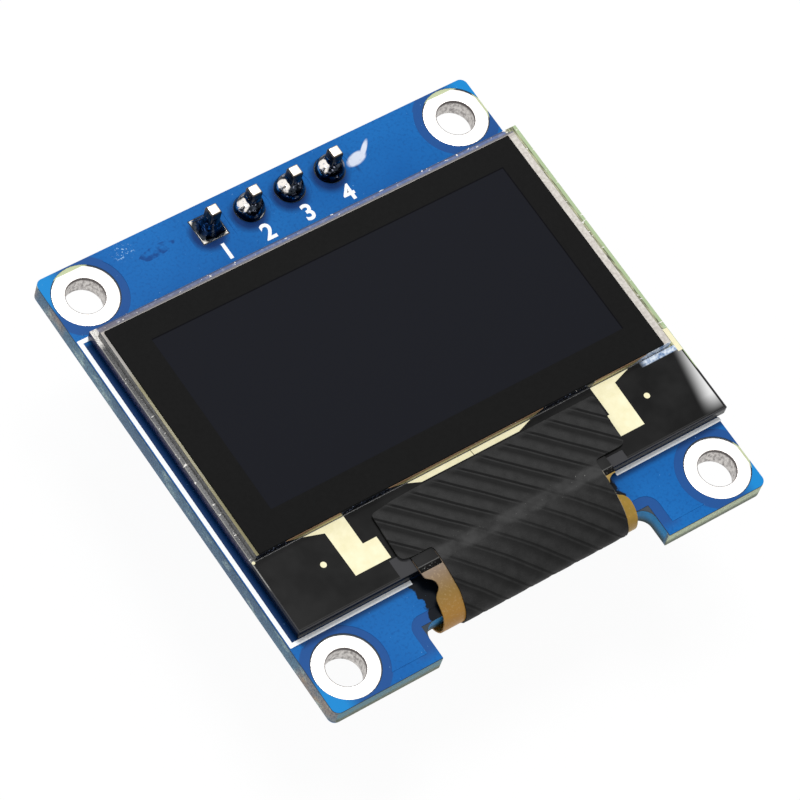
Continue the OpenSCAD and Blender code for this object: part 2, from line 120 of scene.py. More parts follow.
def blend_colour(tree, factor, first, second, low=0.0, high=1.0):
    ranged = add(tree, "MapRange", {"Value": factor, "From Min": low, "From Max": high})
    made = add(tree, "Mix", {"Factor": ranged.outputs[0]}, data_type="RGBA")
    for index, colour in ((6, first), (7, second)):
        if isinstance(colour, bpy.types.NodeSocket):
            tree.links.new(colour, made.inputs[index])
        else:
            made.inputs[index].default_value = linear(colour)
    return made.outputs[2]


def relief(tree, shader, height, depth_mm, strength=1.0):
    bump = add(tree, "Bump", {"Height": height, "Distance": depth_mm * MM, "Strength": strength})
    tree.links.new(bump.outputs[0], shader.inputs["Normal"])


def maths(tree, operation, *values):
    return add(tree, "Math", dict(enumerate(values)), operation=operation).outputs[0]


def axes_mm(tree):
    """The three object coordinates in millimetres."""
    scaled = add(tree, "VectorMath", {0: place(tree), "Scale": 1 / MM}, operation="SCALE")
    return add(tree, "SeparateXYZ", {0: scaled.outputs[0]}).outputs


def window(tree, coordinate, low, high, soft):
    """1 where a coordinate in mm lies between two places, falling to 0 over a soft edge on each side."""
    rise = add(tree, "MapRange", {"Value": coordinate, "From Min": low - soft, "From Max": low})
    fall = add(tree, "MapRange", {"Value": coordinate, "From Min": high, "From Max": high + soft})
    return maths(tree, "SUBTRACT", rise.outputs[0], fall.outputs[0])


def spot(tree, x, y, centre_x, centre_y, reach_x, reach_y, soft, turn=0.0):
    """1 inside an ellipse given in mm, with a soft rim. turn is the angle of its long side in radians."""
    dx, dy = maths(tree, "SUBTRACT", x, centre_x), maths(tree, "SUBTRACT", y, centre_y)
    along_x = maths(tree, "ADD", maths(tree, "MULTIPLY", dx, math.cos(turn)),
                    maths(tree, "MULTIPLY", dy, math.sin(turn)))
    along_y = maths(tree, "SUBTRACT", maths(tree, "MULTIPLY", dy, math.cos(turn)),
                    maths(tree, "MULTIPLY", dx, math.sin(turn)))
    square = maths(tree, "ADD", maths(tree, "POWER", maths(tree, "DIVIDE", along_x, reach_x), 2),
                   maths(tree, "POWER", maths(tree, "DIVIDE", along_y, reach_y), 2))
    reach = maths(tree, "SQRT", square)
    return add(tree, "MapRange", {"Value": reach, "From Min": 1 + soft, "From Max": 1.0}).outputs[0]


def specks(tree, size_mm, detail, above, stretch=(1, 1, 1)):
    """1 in the brightest spots of a noise. The higher the limit, the fewer and smaller they are."""
    return maths(tree, "GREATER_THAN", fleck(tree, size_mm, detail, stretch=stretch), above)


def sight(tree):
    """1 for rays that come straight from the lens, from a reflection or through glass."""
    seen = add(tree, "LightPath")
    straight = maths(tree, "MAXIMUM", seen.outputs["Is Camera Ray"], seen.outputs["Is Glossy Ray"])
    return maths(tree, "MAXIMUM", straight, seen.outputs["Is Transmission Ray"])


# Where each electrode meets the ledge, in mm along x, and how far its two sides lean for each mm of height
ELECTRODES = ((-9.9, -7.44, -2.1, -0.4), (-3.5, 4.25, -2.4, 1.4), (8.1, 10.56, 0.4, 2.1))


def electrode_shadow(tree, x, rise):
    """1 where the cream electrodes run on under the cut edge of the front glass, wider towards its top."""
    found = None
    for low, high, low_slope, high_slope in ELECTRODES:
        past_low = maths(tree, "GREATER_THAN", x, maths(tree, "MULTIPLY_ADD", rise, low_slope, low))
        before_high = maths(tree, "LESS_THAN", x, maths(tree, "MULTIPLY_ADD", rise, high_slope, high))
        strip = maths(tree, "MULTIPLY", past_low, before_high)
        found = strip if found is None else maths(tree, "MAXIMUM", found, strip)
    return found


# %% [markdown]
# A finished piece has its place in its mesh and its object at the origin, so a pattern on Object
# coordinates means the same on every piece. Edges over 35 degrees stay sharp, the rest shade smooth.

# %% Finish a mesh as a piece
SHARP = math.radians(35)
WELD = 1e-7
SAME_PLANE = math.radians(0.5)
BEVEL_OVER = math.radians(25)


def finish_piece(bm, name, finish, replaced=None, sharp=SHARP):
    mesh = bpy.data.meshes.new(name)
    bm.to_mesh(mesh)
    bm.free()
    mesh.shade_smooth()
    mesh.set_sharp_from_angle(angle=sharp)
    mesh.materials.append(finish)
    piece = bpy.data.objects.new(name, mesh)
    bpy.context.scene.collection.objects.link(piece)
    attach(piece, "root")
    if replaced:
        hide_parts(replaced)
    print(f"{name}: {len(mesh.polygons)} faces")
    return piece


def merged_copy(node):
    """The mesh of a CAD node as clean faces: loose triangles joined, and flat ones dissolved together."""
    bm = bmesh.new()
    bm.from_mesh(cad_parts[node].data)
    bmesh.ops.remove_doubles(bm, verts=bm.verts, dist=WELD)
    bmesh.ops.dissolve_limit(bm, angle_limit=SAME_PLANE, verts=bm.verts, edges=bm.edges)
    return bm


def rounded_piece(node, width_mm, finish):
    """A copy of a CAD node with a small bevel on every edge sharper than 25 degrees."""
    bm = merged_copy(node)
    edges = [e for e in bm.edges if len(e.link_faces) == 2 and e.calc_face_angle(0) > BEVEL_OVER]
    bmesh.ops.bevel(bm, geom=edges, offset=width_mm * MM, segments=2, profile=0.5,
                    affect="EDGES", material=-1, clamp_overlap=True)
    return finish_piece(bm, node + "_piece", finish, node)


# %% [markdown]
# ## Camera
# The module is seen from above its lower left corner with a long lens, so its sides stay nearly parallel.

# %% Camera
camera_at = Vector((-98.71, -77.11, 202.4)) * MM
forward = Vector((0.41264, 0.32142, -0.8523)).normalized()
up = Vector((0.41352, 0.7676, 0.48968))
right = forward.cross(up).normalized()
up = right.cross(forward)
lens = bpy.data.cameras.new("camera")
lens.sensor_width = 36.0
lens.lens = 210.0
lens.clip_start = 0.01
lens.clip_end = 20.0
camera = bpy.data.objects.new("camera", lens)
camera.matrix_world = Matrix((right, up, -forward)).transposed().to_4x4()
camera.location = camera_at
bpy.context.scene.collection.objects.link(camera)
bpy.context.scene.camera = camera
print("camera at", [round(v, 4) for v in camera.location], "lens", lens.lens)

# %% [markdown]
# ## Light
# Plain soft studio light: a white sky that reaches every side, one soft key lamp high behind the header,
# which draws short soft shadows, and a small lamp at the left, which adds to the painted highlight on the
# solder. The sky shows white to the lens and in reflections, and lights about half as strongly as it shows.

# %% World and lamps
SKY_LIGHT = 0.58

world = bpy.data.worlds.new("studio")
bpy.context.scene.world = world
world.use_nodes = True
tree = world.node_tree
sky = add(tree, "MapRange", {"Value": sight(tree), "To Min": SKY_LIGHT, "To Max": 1.0})
tree.links.new(sky.outputs[0], tree.nodes["Background"].inputs["Strength"])
tree.nodes["Background"].inputs["Color"].default_value = (1, 1, 1, 1)


def lamp(name, place_mm, size_mm, watts):
    data = bpy.data.lights.new(name, "AREA")
    data.size = size_mm * MM
    data.energy = watts
    made = bpy.data.objects.new(name, data)
    made.location = Vector(place_mm) * MM
    made.rotation_mode = "QUATERNION"
    made.rotation_quaternion = (-made.location).to_track_quat("-Z", "Y")
    bpy.context.scene.collection.objects.link(made)
    print("lamp:", name, watts, "W")


lamp("key", (90, 260, 760), 260, 4.2)
lamp("left", (-560, 40, 300), 130, 0.35)
bpy.context.scene.view_settings.view_transform = "Standard"

# %% [markdown]
# ## Floor
# A plain white floor at the tips of the pins. To the lens it is mostly white by itself, and the part of it
# that takes light keeps the soft shadow of the module.

# %% Floor
FLOOR_SIZE = 4000
FLOOR_GAP = 0.02
FLOOR_OWN_WHITE = 0.95

bm = bmesh.new()
bmesh.ops.create_grid(bm, x_segments=1, y_segments=1, size=FLOOR_SIZE / 2 * MM)
bmesh.ops.translate(bm, verts=bm.verts, vec=(0, 0, cad_low.z - FLOOR_GAP * MM))
floor_mesh = bpy.data.meshes.new("floor")
bm.to_mesh(floor_mesh)
bm.free()
floor = bpy.data.objects.new("floor", floor_mesh)
bpy.context.scene.collection.objects.link(floor)
paper, tree, shader = material("white_paper", "#fafafa", 0.9, Specular_IOR_Level=0.0)
own = add(tree, "Emission", {"Color": (1, 1, 1, 1), "Strength": 1.0})
mixed = add(tree, "MixShader", {0: maths(tree, "MULTIPLY", sight(tree), FLOOR_OWN_WHITE)})
tree.links.new(shader.outputs[0], mixed.inputs[1])
tree.links.new(own.outputs[0], mixed.inputs[2])
tree.links.new(mixed.outputs[0], tree.nodes["Material Output"].inputs["Surface"])
floor_mesh.materials.append(paper)
floor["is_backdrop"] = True
print("floor at z", round(floor_mesh.vertices[0].co.z / MM, 2), "mm")

# %% [markdown]
# ## The board's finishes
# Solder mask is a thin blue lacquer, screened over copper and bare glass-fibre alike. Over copper it looks
# bright blue. Beside the copper it lies lower and looks violet, round the screw holes and along the notch.
# The CAD solid has that step, so the height of a point tells which blue it gets.

# %% Places on the board, in mm
HOLE_X, HOLE_Y = 11.65, 12
PIN_ROW_Y = 12.47
FIRST_PIN_X = -3.81
COPPER_STEP = 0.01
PITCH = 2.54
PINS_BEFORE = 20  # whole pitches added, so that the count of pins is never negative
BOARD_MIDDLE = -0.6
BOARD_HALF = 0.6
CLEAR_OF_COPPER = 2.32
print("hole spacing", 2 * HOLE_X, "by", 2 * HOLE_Y, "mm, pin pitch", PITCH, "mm")

# %% Solder mask over copper and beside it

solder_mask, tree, shader = material("blue_solder_mask_lacquer", "#1162a8", 0.4)
shader.inputs["Specular IOR Level"].default_value = 0.06
x, y, z = axes_mm(tree)
height = maths(tree, "ABSOLUTE", maths(tree, "SUBTRACT", z, BOARD_MIDDLE))
bare = maths(tree, "LESS_THAN", height, BOARD_HALF - COPPER_STEP)
front = maths(tree, "GREATER_THAN", z, BOARD_MIDDLE)
side_x = maths(tree, "ABSOLUTE", x)
side_y = maths(tree, "ABSOLUTE", y)

blue = blend_colour(tree, fleck(tree, 6.0, 2.0), "#0c5ba3", "#1566ae", 0.35, 0.65)
blue = blend_colour(tree, fleck(tree, 0.16, 3.0), blue, "#0a4f92", 0.5, 0.85)
corner = maths(tree, "MULTIPLY", window(tree, side_x, 12.4, 20, 1.0), window(tree, side_y, 12.2, 20, 1.2))
blue = blend_colour(tree, corner, blue, "#1781c6")
ring = spot(tree, side_x, side_y, HOLE_X, HOLE_Y, CLEAR_OF_COPPER, CLEAR_OF_COPPER, 0.03)
ring = maths(tree, "MULTIPLY", bare, ring)
inward = maths(tree, "MAXIMUM", window(tree, side_x, 0, 11.9, 0.9), window(tree, side_y, 0, 11.5, 1.2))
ring = maths(tree, "MULTIPLY", ring, inward)
notch = maths(tree, "MULTIPLY", bare, maths(tree, "MULTIPLY", window(tree, side_x, 0, 7.9, 0.5),
                                             window(tree, y, -13.2, -10, 0.6)))
blue = blend_colour(tree, maths(tree, "MAXIMUM", ring, notch), blue, "#204c8a", 0, 1.1)

# %% [markdown]
# A painted shadow lies as a dark ring at the lower left of each header joint, and close beside the panel and
# under the flex the board carries painted shade, because so little light gets in there. All are laid on by
# place, with soft edges.

# %% Painted shade on the solder mask
along_row = maths(tree, "FRACT", maths(tree, "ADD", maths(tree, "DIVIDE", x, PITCH), PINS_BEFORE))
from_pin = maths(tree, "MULTIPLY", maths(tree, "SUBTRACT", along_row, 0.5), PITCH)
in_row = maths(tree, "MULTIPLY", front, window(tree, x, -5.4, 5.2, 0.1))
# Painted shadow of each pin: a soft dark ring, offset to the lower left of the joint.
painted_shade = spot(tree, from_pin, y, -0.22, PIN_ROW_Y - 0.3, 0.8, 0.8, 0.5)
blue = blend_colour(tree, maths(tree, "MULTIPLY", in_row, painted_shade), blue, "#082a60", 0, 1.1)

# Painted shade on the board beside the panel's left side and below the ledge.
beside = maths(tree, "MULTIPLY", window(tree, x, -13.3, -12.5, 0.04), window(tree, y, -9.6, 9.4, 0.3))
below = maths(tree, "MULTIPLY", window(tree, x, -12.9, 13.7, 0.1), window(tree, y, -9.95, -9.5, 0.25))
painted_shade_by_panel = maths(tree, "MULTIPLY", front, maths(tree, "MAXIMUM", beside, maths(tree, "MULTIPLY", below, 0.8)))
blue = blend_colour(tree, painted_shade_by_panel, blue, "#06254f", 0, 1.1)
# Painted shade on the board under the flex, with a ragged edge.
stray = maths(tree, "SUBTRACT", fleck(tree, 0.55, 3.0), 0.5)
frayed = maths(tree, "ADD", x, maths(tree, "MULTIPLY", stray, 1.1))
painted_shade_under_flex = maths(tree, "MULTIPLY", window(tree, frayed, -6.25, 6.35, 0.1), window(tree, y, -12.6, -9.6, 0.2))
blue = blend_colour(tree, maths(tree, "MULTIPLY", front, painted_shade_under_flex), blue, "#070d15")

# %% [markdown]
# Near the header lie traces of soldering: a white smear of flux beside the last joint, and a few pale
# specks and a darker trace left of the first one. A thin scatter of dust lies everywhere.

# %% Flux and dust on the solder mask
smear = maths(tree, "MAXIMUM", spot(tree, x, y, 5.45, 12.36, 0.5, 0.26, 0.5, turn=0.25),
              spot(tree, x, y, 6.05, 12.6, 0.55, 0.11, 0.6, turn=0.75))
thin = maths(tree, "ADD", fleck(tree, 0.3, 3.0), 0.35)
blue = blend_colour(tree, maths(tree, "MULTIPLY", smear, thin), blue, "#cfd6e6", 0.1, 0.75)
residue = maths(tree, "MULTIPLY", spot(tree, x, y, -8.6, 13.3, 0.4, 0.3, 0.9), specks(tree, 0.12, 2.0, 0.6))
blue = blend_colour(tree, residue, blue, "#9cc4e6", 0, 1.4)
trace = spot(tree, x, y, -7.0, 12.55, 1.1, 0.32, 0.3, turn=0.1)
blue = blend_colour(tree, maths(tree, "MULTIPLY", trace, fleck(tree, 0.5, 2.0)), blue, "#0a4384", 0.45, 0.6)
dust = specks(tree, 0.11, 1.0, 0.79)
blue = blend_colour(tree, dust, blue, "#7fb4e2", 0, 1.6)
tree.links.new(blue, shader.inputs["Base Color"])
relief(tree, shader, fleck(tree, 0.35, 2.0), 0.006, 0.6)

# %% [markdown]
# The laminate is woven glass-fibre in epoxy. Its routed edge is a fine mottle of cut fibre ends, teal where
# the resin took up the lacquer's blue, with brown and pale patches some millimetres long.

# %% Laminate
laminate, tree, shader = material("glass_epoxy_laminate", "#5f819b", 0.6)
shader.inputs["Specular IOR Level"].default_value = 0.3
x, y, z = axes_mm(tree)
cut_fibre = fleck(tree, 0.1, 4.0, stretch=(1, 1, 1.6))
patches = fleck(tree, 2.4, 2.0)
pale = fleck(tree, 1.1, 3.0, stretch=(1, 1, 2))
edge = blend_colour(tree, fleck(tree, 5.0), "#47637f", "#56798f", 0.4, 0.6)
near_ends = window(tree, maths(tree, "ABSOLUTE", y), 11.3, 20, 2.0)
edge = blend_colour(tree, maths(tree, "MULTIPLY", patches, near_ends), edge, "#a08c78", 0.4, 0.62)
edge = blend_colour(tree, pale, edge, "#b4cbc4", 0.55, 0.85)
edge = blend_colour(tree, cut_fibre, "#2e445a", edge, 0.32, 0.55)

# %% [markdown]
# The low edge is paler, with a darker lower half, and the walls of the notch are blue from the lacquer near
# the top, with painted shade lower down. Where the bare face shows past the lacquer, at the top and the
# right, it is a pale straw line; in the thin gaps beside the pads it carries painted shade.

# %% Low edge, notch and face of the laminate
low_side = window(tree, y, -15, -13.9, 0.02)
low_pale = blend_colour(tree, window(tree, x, 0, 20, 2), "#5c8797", "#b9c4a6")
low_edge = blend_colour(tree, window(tree, z, -0.55, 0, 0.35), "#57604f", low_pale)
low_edge = blend_colour(tree, cut_fibre, "#77806c", low_edge, 0.3, 0.5)
edge = blend_colour(tree, low_side, edge, low_edge)
in_notch = maths(tree, "MULTIPLY", window(tree, x, -7.25, 7.3, 0.05), window(tree, y, -13.7, -11, 0.1))
# The notch walls are blue from the lacquer near the top and carry painted shade lower down.
notch_lacquer_and_shade = blend_colour(tree, window(tree, z, -0.5, 0, 0.5), "#123338", "#2b7fb5")
edge = blend_colour(tree, in_notch, edge, notch_lacquer_and_shade)
# Past the lacquer at the top and the right the bare face is pale straw; elsewhere, in the thin gaps beside the
# pads, it carries painted shade.
face = blend_colour(tree, window(tree, y, 13.55, 15, 0.02), "#2c3640", "#b9c29b")
face = blend_colour(tree, window(tree, x, 13.3, 15, 0.02), face, "#b9c29b")
edge = blend_colour(tree, window(tree, z, -0.07, 0, 0.01), edge, face)
tree.links.new(edge, shader.inputs["Base Color"])
relief(tree, shader, cut_fibre, 0.02, 0.6)

# %% [markdown]
# Pads and hole walls are copper dipped in solder and blown flat with hot air. The flat rings are an even,
# almost white metal with a fine brushed grain, and the walls are duller, with pits.

# %% Tin
HOLE_WALL_R = 1.075

tin, tree, shader = material("hot_air_levelled_tin", "#fbfaf7", 0.5, 1.0)
x, y, z = axes_mm(tree)
brushed = fleck(tree, 0.06, 3.0, stretch=(1, 0.35, 1))
face = blend_colour(tree, fleck(tree, 0.8, 2.0), "#f4f2ef", "#e9e2dc", 0.45, 0.7)
face = blend_colour(tree, brushed, face, "#d2cbc6", 0.55, 1.1)
pits = fleck(tree, 0.15, 4.0, stretch=(1, 1, 0.6))
wall = blend_colour(tree, pits, "#8d8886", "#dedad6", 0.3, 0.6)
wall = blend_colour(tree, window(tree, z, -0.16, 0, 0.1), wall, "#6d6867")
side_x = maths(tree, "ABSOLUTE", x)
side_y = maths(tree, "ABSOLUTE", y)
in_hole = spot(tree, side_x, side_y, HOLE_X, HOLE_Y, HOLE_WALL_R, HOLE_WALL_R, 0.02)
tree.links.new(blend_colour(tree, in_hole, face, wall), shader.inputs["Base Color"])
relief(tree, shader, brushed, 0.003, 0.5)

# %% [markdown]
# Solder joints carry a painted dark reflection, for the board and the pin that their curved skin mirrors,
# and a few painted glints. Only the flank towards the lamp has a painted highlight, and the four drawn
# corners of the first joint are bright tin. Behind the board the solder is plain.

# %% Solder
PAINTED_HIGHLIGHT_FLANK = (-0.72, 0.02, 0.69)

solder, tree, shader = material("solder", "#454b55", 0.16, 1.0)
x, y, z = axes_mm(tree)
skin = fleck(tree, 0.3, 3.0)
# Painted dark reflection of the board and the pin, mottled.
painted_dark_reflection = blend_colour(tree, skin, "#0b0f16", "#4c535e", 0.4, 0.72)
# The flank that faces the left lamp gets a painted highlight.
facing = add(tree, "VectorMath", {0: add(tree, "NewGeometry").outputs["Normal"], 1: PAINTED_HIGHLIGHT_FLANK},
             operation="DOT_PRODUCT").outputs["Value"]
frayed = maths(tree, "ADD", facing, maths(tree, "MULTIPLY", skin, 0.16))
painted_flank_highlight = maths(tree, "MULTIPLY", window(tree, frayed, 0.99, 2, 0.05), window(tree, x, -3, 10, 0.1))
behind = window(tree, z, -12, -0.6, 0.05)
skinned = blend_colour(tree, painted_flank_highlight, painted_dark_reflection, "#fbf5ee")
# Painted glints on the dome.
glint = maths(tree, "MULTIPLY", specks(tree, 0.14, 2.0, 0.62), window(tree, z, 0.3, 0.9, 0.1))
skinned = blend_colour(tree, glint, skinned, "#a9adc0", 0, 1.4)
drawn_corner = maths(tree, "SUBTRACT", window(tree, x, -4.7, -2.9, 0.01),
                     spot(tree, x, y, FIRST_PIN_X, PIN_ROW_Y, 0.86, 0.86, 0.14))
skinned = blend_colour(tree, drawn_corner, skinned, "#fff9ee")
tree.links.new(blend_colour(tree, behind, skinned, "#a7abb0"), shader.inputs["Base Color"])
relief(tree, shader, skin, 0.03, 0.8)

# %% [markdown]
# The pins are drawn wire, plated and then cropped. Among the joints their sides carry a painted dark
# reflection, as the solder does, and the flat cropped ends and the long ends behind the board are bright.

# %% Pins and leads
PIN_TIP_Z = 1.785

pin_metal, tree, shader = material("plated_pin_wire", "#d9d4cc", 0.3, 1.0)
x, y, z = axes_mm(tree)
cropped_end = window(tree, z, PIN_TIP_Z, 3, 0.01)
drawn = fleck(tree, 0.2, 2.0, stretch=(4, 4, 0.4))
# The sides among the joints carry a painted dark reflection, like the solder.
shank_with_painted_reflection = blend_colour(tree, drawn, "#1b1d22", "#5b5752", 0.3, 0.75)
behind = window(tree, z, -12, -1.2, 0.05)
shank_with_painted_reflection = blend_colour(tree, behind, shank_with_painted_reflection, "#cfc8bc")
tree.links.new(blend_colour(tree, cropped_end, shank_with_painted_reflection, "#f6ebdc"), shader.inputs["Base Color"])
relief(tree, shader, drawn, 0.006, 0.6)

tinned_lead, tree, shader = material("tinned_lead_frame", "#c9cacc", 0.35, 1.0)
relief(tree, shader, fleck(tree, 0.15, 2.0), 0.01, 0.6)

# %% [markdown]
# The legend is white epoxy ink, printed through a mesh, so it is matte and its tone is slightly uneven.

# %% Printed ink
legend_ink, tree, shader = material("white_epoxy_ink", "#f4f8fc", 0.7)
ink = fleck(tree, 0.12, 3.0)
tree.links.new(blend_colour(tree, ink, "#eaf1f8", "#ffffff", 0.35, 0.65), shader.inputs["Base Color"])
relief(tree, shader, ink, 0.006, 0.5)

# %% [markdown]
# ## The panel's finishes
# Both glasses are clear, so what shows along their narrow borders is what lies behind: pale glue along the
# right, grey glue at the left, the violet board in painted shade past the top. The cut edge over the ledge
# shows the cream electrodes running on under the glass, and between them it is dark. The right end of that
# edge has a painted reflection of the blue of the board. These tones are given by place.

# %% Front glass
FRONT_EDGE = -5.2
FRONT_TOP_Z = 1.3
LEDGE_Z = 0.78


# A painted reflection of the blue board, used at the right end of the glass edge and of the ledge.
def blue_mirror(tree):
    return blend_colour(tree, fleck(tree, 0.25, 3.0), "#5e7ea8", "#dbe4ee", 0.36, 0.62)


front_glass, tree, shader = material("cut_display_glass_front", "#4b4b4d", 0.2)
shader.inputs["Specular IOR Level"].default_value = 0.1
x, y, z = axes_mm(tree)
chips = fleck(tree, 0.09, 3.0, stretch=(1, 1, 1.5))
side = blend_colour(tree, chips, "#3e3e3f", "#707070", 0.35, 0.7)
pale = blend_colour(tree, fleck(tree, 0.15, 3.0), "#bdb7b0", "#d6d1ca", 0.35, 0.65)
left_rim = blend_colour(tree, window(tree, y, -6, 5.5, 1.5), "#a9a5a0", "#8b8566")
top_rim = blend_colour(tree, window(tree, y, 9.1, 9.24, 0.01), "#77767c", "#b5afa8")
rim = blend_colour(tree, window(tree, x, -14, -12.4, 0.05), pale, left_rim)
rim = blend_colour(tree, window(tree, y, 9.1, 10, 0.02), rim, top_rim)
glass = blend_colour(tree, window(tree, z, FRONT_TOP_Z - 0.006, 2, 0.003), side, rim)
rise = maths(tree, "SUBTRACT", z, LEDGE_Z)
run_on = electrode_shadow(tree, x, rise)
gold = blend_colour(tree, window(tree, z, 0.93, 1.06, 0.05), "#8f8455", "#b3a877")
gold = blend_colour(tree, window(tree, z, 1.16, 2, 0.05), gold, "#97795c")
dark = blend_colour(tree, specks(tree, 0.14, 2.0, 0.62), "#12141b", "#565e72")
# Painted reflection of the blue board towards the right end of the cut face.
dark = blend_colour(tree, window(tree, x, 11.3, 14, 0.8), dark, blue_mirror(tree))
cut_face = blend_colour(tree, run_on, dark, gold)
cut_face = blend_colour(tree, window(tree, z, 0.7, 0.83, 0.02), cut_face, "#33301f")
nicks = specks(tree, 0.13, 2.0, 0.67, (1, 0.3, 0.3))
nicks = maths(tree, "MULTIPLY", nicks, window(tree, z, 1.24, 2, 0.02))
cut_face = blend_colour(tree, nicks, cut_face, "#efe9e2")
glass = blend_colour(tree, window(tree, y, -6, FRONT_EDGE + 0.03, 0.01), glass, cut_face)
tree.links.new(glass, shader.inputs["Base Color"])
relief(tree, shader, chips, 0.004, 0.5)

# %% [markdown]
# The rear glass shows a dark cut side, streaked from the saw, with painted shade on its left side towards the
# board and along the ledge, and three narrow strips of its face beyond the front glass, at the top, the left
# and the right, each with the tone of what lies under it. A painted highlight runs along the outer left edge
# of its face and brightens its top left corner.

# %% Rear glass
rear_glass, tree, shader = material("cut_display_glass_rear", "#33353d", 0.25)
shader.inputs["Specular IOR Level"].default_value = 0.1
x, y, z = axes_mm(tree)
streak = fleck(tree, 0.2, 3.0, stretch=(1, 1, 3))
left_side = blend_colour(tree, streak, "#16203a", "#4e4a5c", 0.38, 0.68)
# Painted shade on the left side, towards the board and along the ledge.
left_side = blend_colour(tree, window(tree, z, 0.45, 1, 0.2), "#0a1b3c", left_side)
left_side = blend_colour(tree, window(tree, y, -12, -5.4, 0.4), left_side, "#081226")
front_side = blend_colour(tree, streak, "#090c12", "#1c1f28", 0.4, 0.7)
glass = blend_colour(tree, window(tree, y, -12, -9.5, 0.02), left_side, front_side)
grain = fleck(tree, 0.07, 2.0)
# The top strip shows the violet board in painted shade.
violet = blend_colour(tree, window(tree, x, -3, 20, 8), "#6f6c78", "#5f6f99")
top_border = blend_colour(tree, streak, violet, "#8d90a6", 0.45, 0.8)
top_border = blend_colour(tree, window(tree, y, 9.74, 10, 0.02), top_border, "#4a5570")
left_border = blend_colour(tree, grain, "#3d3d3f", "#727272", 0.3, 0.7)
# A painted highlight line along the outer left edge.
left_border = blend_colour(tree, window(tree, x, -14, -12.9, 0.01), left_border, "#8d8c88")
lines = fleck(tree, 0.07, 3.0, stretch=(1, 0.12, 1))
right_border = blend_colour(tree, lines, "#4c5040", "#b5b795", 0.36, 0.62)
right_border = blend_colour(tree, window(tree, x, 13.66, 15, 0.03), right_border, "#a9bb93")
under = blend_colour(tree, window(tree, y, 9.3, 11, 0.05), left_border, top_border)
# A painted highlight at the top left corner.
corner = maths(tree, "MULTIPLY", window(tree, x, -14, -12.6, 0.1), window(tree, y, 8.9, 11, 0.3))
under = blend_colour(tree, corner, under, blend_colour(tree, grain, "#a9a6a4", "#f2efe9", 0.3, 0.7))
under = blend_colour(tree, window(tree, x, 13.1, 15, 0.03), under, right_border)
under = blend_colour(tree, window(tree, y, -12, -7, 0.3), under, "#3d3d3f")
glass = blend_colour(tree, window(tree, z, 0.735, 1, 0.005), glass, under)
top_rim = maths(tree, "MULTIPLY", window(tree, z, 0.7, 1, 0.01), window(tree, y, -5, 10, 0.2))
nicks = maths(tree, "MULTIPLY", specks(tree, 0.15, 2.0, 0.68, (0.5, 1, 0.5)), top_rim)
tree.links.new(blend_colour(tree, nicks, glass, "#e9e6e0"), shader.inputs["Base Color"])
relief(tree, shader, streak, 0.004, 0.5)

# %% [markdown]
# The polarizer is a black satin film. Through it the part that can light up shows as a slightly bluer
# rectangle, with a fine darker line along its top and its right side.

# %% Polarizer and the films below it
LIT_X = (-10.69, 11.26)
LIT_Y = (-3.38, 7.57)
LINE = 0.07

polarizer, tree, shader = material("satin_polarizer_film", "#161616", 0.8)
shader.inputs["Specular IOR Level"].default_value = 0.01
x, y, z = axes_mm(tree)
lit = maths(tree, "MULTIPLY", window(tree, x, *LIT_X, 0.02), window(tree, y, *LIT_Y, 0.02))
lined = maths(tree, "MULTIPLY", window(tree, x, LIT_X[0], LIT_X[1] + LINE, 0.02),
              window(tree, y, LIT_Y[0], LIT_Y[1] + LINE, 0.02))
film = blend_colour(tree, fleck(tree, 0.2, 3.0), "#1a1a1a", "#1c1c1c", 0.3, 0.7)
film = blend_colour(tree, lined, film, "#101013")
tree.links.new(blend_colour(tree, lit, film, "#1d1e23"), shader.inputs["Base Color"])

pixel_film, tree, shader = material("unlit_pixel_film", "#191a21", 0.25)
relief(tree, shader, fleck(tree, 0.17, 1.0), 0.002, 0.5)

edge_seal, tree, shader = material("cured_edge_resin", "#6d6d68", 0.35)
tree.links.new(blend_colour(tree, fleck(tree, 0.6), "#5c5c58", "#8a8a82", 0.3, 0.7),
               shader.inputs["Base Color"])

foam, tree, shader = material("black_adhesive_sheet", "#202224", 0.8)
relief(tree, shader, fleck(tree, 0.08), 0.02, 0.7)

# %% [markdown]
# The ledge is coated in gloss black, open over thin cream electrodes. At its right end the coating has a
# painted reflection of the studio, so it runs to white before a thin dark rim, and a painted blue reflection
# by the front glass.

# %% Ledge finishes
coating, tree, shader = material("gloss_black_coating", "#151515", 0.2)
shader.inputs["Specular IOR Level"].default_value = 0.06
x, y, z = axes_mm(tree)
black = blend_colour(tree, fleck(tree, 1.5, 2.0), "#161616", "#202020", 0.35, 0.65)
# Painted reflection of the studio at the right end.
towards_end = maths(tree, "SUBTRACT", x, maths(tree, "MULTIPLY", maths(tree, "ADD", y, 9.5), 0.2))
painted_sheen = add(tree, "MapRange", {"Value": towards_end, "From Min": 12.35, "From Max": 13.5},
            interpolation_type="SMOOTHSTEP").outputs[0]
painted_sheen = maths(tree, "MULTIPLY", painted_sheen, window(tree, y, -8.5, 0, 1.0))
painted_sheen = maths(tree, "MULTIPLY", painted_sheen, window(tree, x, 0, 13.68, 0.03))
black = blend_colour(tree, painted_sheen, black, "#dcdcdc")
# Painted reflection of the blue board near the front glass at the right end.
painted_blue_end = maths(tree, "MULTIPLY", window(tree, x, 11.6, 13.6, 0.4), window(tree, y, -5.5, -5, 0.06))
black = blend_colour(tree, painted_blue_end, black, blue_mirror(tree))
groove = window(tree, y, -9.46, -9.43, 0.02)
tree.links.new(blend_colour(tree, groove, black, "#3a3a3a", 0, 1.6), shader.inputs["Base Color"])
relief(tree, shader, fleck(tree, 0.9, 2.0), 0.004, 0.5)

